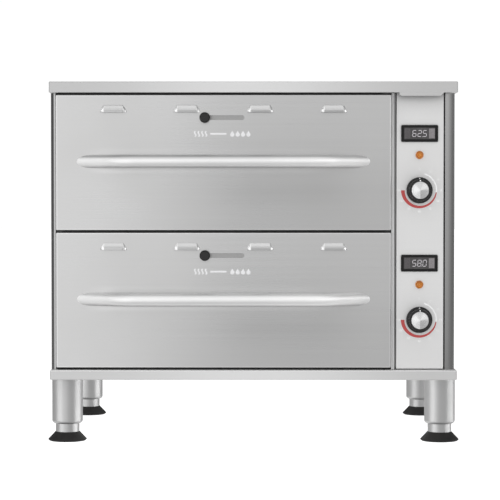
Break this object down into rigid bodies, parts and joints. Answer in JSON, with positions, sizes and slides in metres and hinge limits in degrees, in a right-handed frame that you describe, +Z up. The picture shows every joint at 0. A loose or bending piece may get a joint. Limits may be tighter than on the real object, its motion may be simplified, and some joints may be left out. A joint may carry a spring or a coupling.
{
  "type": "double warming drawer",
  "caption": "Freestanding stainless food warmer with stacked heated pull-out drawers, sliding vents, a side column of thermostat knobs and temperature displays, and adjustable legs.",
  "frame": {"origin": "on the floor, under the middle of the overall box", "axes": "+X to the right seen from the front, +Y to the back, +Z up; the drawers face -Y"},
  "size_m": [0.7664, 0.604, 0.6655],
  "materials": {
    "panel_steel": "horizontally brushed stainless steel",
    "front_steel": "horizontally brushed stainless steel",
    "liner_steel": "mill finish stainless steel",
    "pan_steel": "satin drawn stainless steel",
    "plated_steel": "zinc plated steel",
    "leg_steel": "polished",
    "handle_steel": "satin polished",
    "spun_aluminium": "spun",
    "black_plastic": "satin black",
    "foot_rubber": "matte black",
    "gasket_silicone": "matte dark grey",
    "insulation": "mineral wool",
    "element_sheath": "heat darkened sheath",
    "thermostat_metal": "plated housing",
    "amber_lens": "translucent amber",
    "display_window": "smoked glossy"
  },
  "bodies": {
    "cabinet": {"top_panel": "panel_steel", "base_panel": "panel_steel", "left_side_panel": "panel_steel", "right_side_panel": "panel_steel", "back_panel": "panel_steel", "control_divider": "panel_steel", "side_liners": "liner_steel", "back_liner": "liner_steel", "ceiling_liner": "liner_steel", "upper_heat_deck": "liner_steel", "lower_heat_deck": "liner_steel", "insulation_slabs": "insulation", "upper_heating_element": "element_sheath", "lower_heating_element": "element_sheath", "thermostats": "thermostat_metal", "indicator_lamps": "amber_lens", "thermometer_housings": "black_plastic", "thermometer_windows": "display_window", "control_panel": "panel_steel", "slide_outer_members": "plated_steel", "leg_tubes": "leg_steel", "fasteners": "plated_steel", "terminal_block": "black_plastic", "cord_gland": "black_plastic"},
    "upper_drawer": {"upper_drawer_front": "front_steel", "upper_front_inner_panel": "liner_steel", "upper_front_insulation": "insulation", "upper_front_gasket": "gasket_silicone", "upper_drawer_handle": "handle_steel", "upper_drawer_frame": "liner_steel", "upper_drawer_pan": "pan_steel", "upper_slide_inner_members": "plated_steel"},
    "upper_slide_middle": {"upper_slide_middle_members": "plated_steel"},
    "upper_vent": {"upper_vent_shutter": "liner_steel", "upper_vent_knob": "black_plastic"},
    "upper_thermostat_knob": {"upper_knob": "black_plastic", "upper_knob_cap": "spun_aluminium", "upper_thermostat_shaft": "plated_steel"},
    "lower_drawer": {"lower_drawer_front": "front_steel", "lower_front_inner_panel": "liner_steel", "lower_front_insulation": "insulation", "lower_front_gasket": "gasket_silicone", "lower_drawer_handle": "handle_steel", "lower_drawer_frame": "liner_steel", "lower_drawer_pan": "pan_steel", "lower_slide_inner_members": "plated_steel"},
    "lower_slide_middle": {"lower_slide_middle_members": "plated_steel"},
    "lower_vent": {"lower_vent_shutter": "liner_steel", "lower_vent_knob": "black_plastic"},
    "lower_thermostat_knob": {"lower_knob": "black_plastic", "lower_knob_cap": "spun_aluminium", "lower_thermostat_shaft": "plated_steel"},
    "front_left_foot": {"front_left_foot_stem": "leg_steel", "front_left_foot_pad": "foot_rubber"},
    "front_right_foot": {"front_right_foot_stem": "leg_steel", "front_right_foot_pad": "foot_rubber"},
    "rear_left_foot": {"rear_left_foot_stem": "leg_steel", "rear_left_foot_pad": "foot_rubber"},
    "rear_right_foot": {"rear_right_foot_stem": "leg_steel", "rear_right_foot_pad": "foot_rubber"}
  },
  "joints": [
    {"name": "upper_drawer_slide", "type": "slide", "parent": "cabinet", "child": "upper_drawer", "axis": [0, -1, 0], "range_m": [0, 0.42]},
    {"name": "upper_slide_middle_travel", "type": "slide", "parent": "cabinet", "child": "upper_slide_middle", "axis": [0, -1, 0], "range_m": [0, 0.21]},
    {"name": "upper_vent_travel", "type": "slide", "parent": "upper_drawer", "child": "upper_vent", "axis": [1, 0, 0], "range_m": [0, 0.0682]},
    {"name": "upper_knob_turn", "type": "hinge", "parent": "cabinet", "child": "upper_thermostat_knob", "pos_m": [0.3056, -0.262, 0.4664], "axis": [0, 1, 0], "range_deg": [0, 270]},
    {"name": "lower_drawer_slide", "type": "slide", "parent": "cabinet", "child": "lower_drawer", "axis": [0, -1, 0], "range_m": [0, 0.42]},
    {"name": "lower_slide_middle_travel", "type": "slide", "parent": "cabinet", "child": "lower_slide_middle", "axis": [0, -1, 0], "range_m": [0, 0.21]},
    {"name": "lower_vent_travel", "type": "slide", "parent": "lower_drawer", "child": "lower_vent", "axis": [1, 0, 0], "range_m": [0, 0.0682]},
    {"name": "lower_knob_turn", "type": "hinge", "parent": "cabinet", "child": "lower_thermostat_knob", "pos_m": [0.3056, -0.262, 0.228], "axis": [0, 1, 0], "range_deg": [0, 270]},
    {"name": "front_left_foot_screw", "type": "slide", "parent": "cabinet", "child": "front_left_foot", "axis": [0, 0, -1], "range_m": [0, 0.025]},
    {"name": "front_right_foot_screw", "type": "slide", "parent": "cabinet", "child": "front_right_foot", "axis": [0, 0, -1], "range_m": [0, 0.025]},
    {"name": "rear_left_foot_screw", "type": "slide", "parent": "cabinet", "child": "rear_left_foot", "axis": [0, 0, -1], "range_m": [0, 0.025]},
    {"name": "rear_right_foot_screw", "type": "slide", "parent": "cabinet", "child": "rear_right_foot", "axis": [0, 0, -1], "range_m": [0, 0.025]}
  ],
  "couplings": [
    {"joint": "upper_slide_middle_travel", "follows": "upper_drawer_slide", "ratio": 0.5},
    {"joint": "lower_slide_middle_travel", "follows": "lower_drawer_slide", "ratio": 0.5}
  ]
}
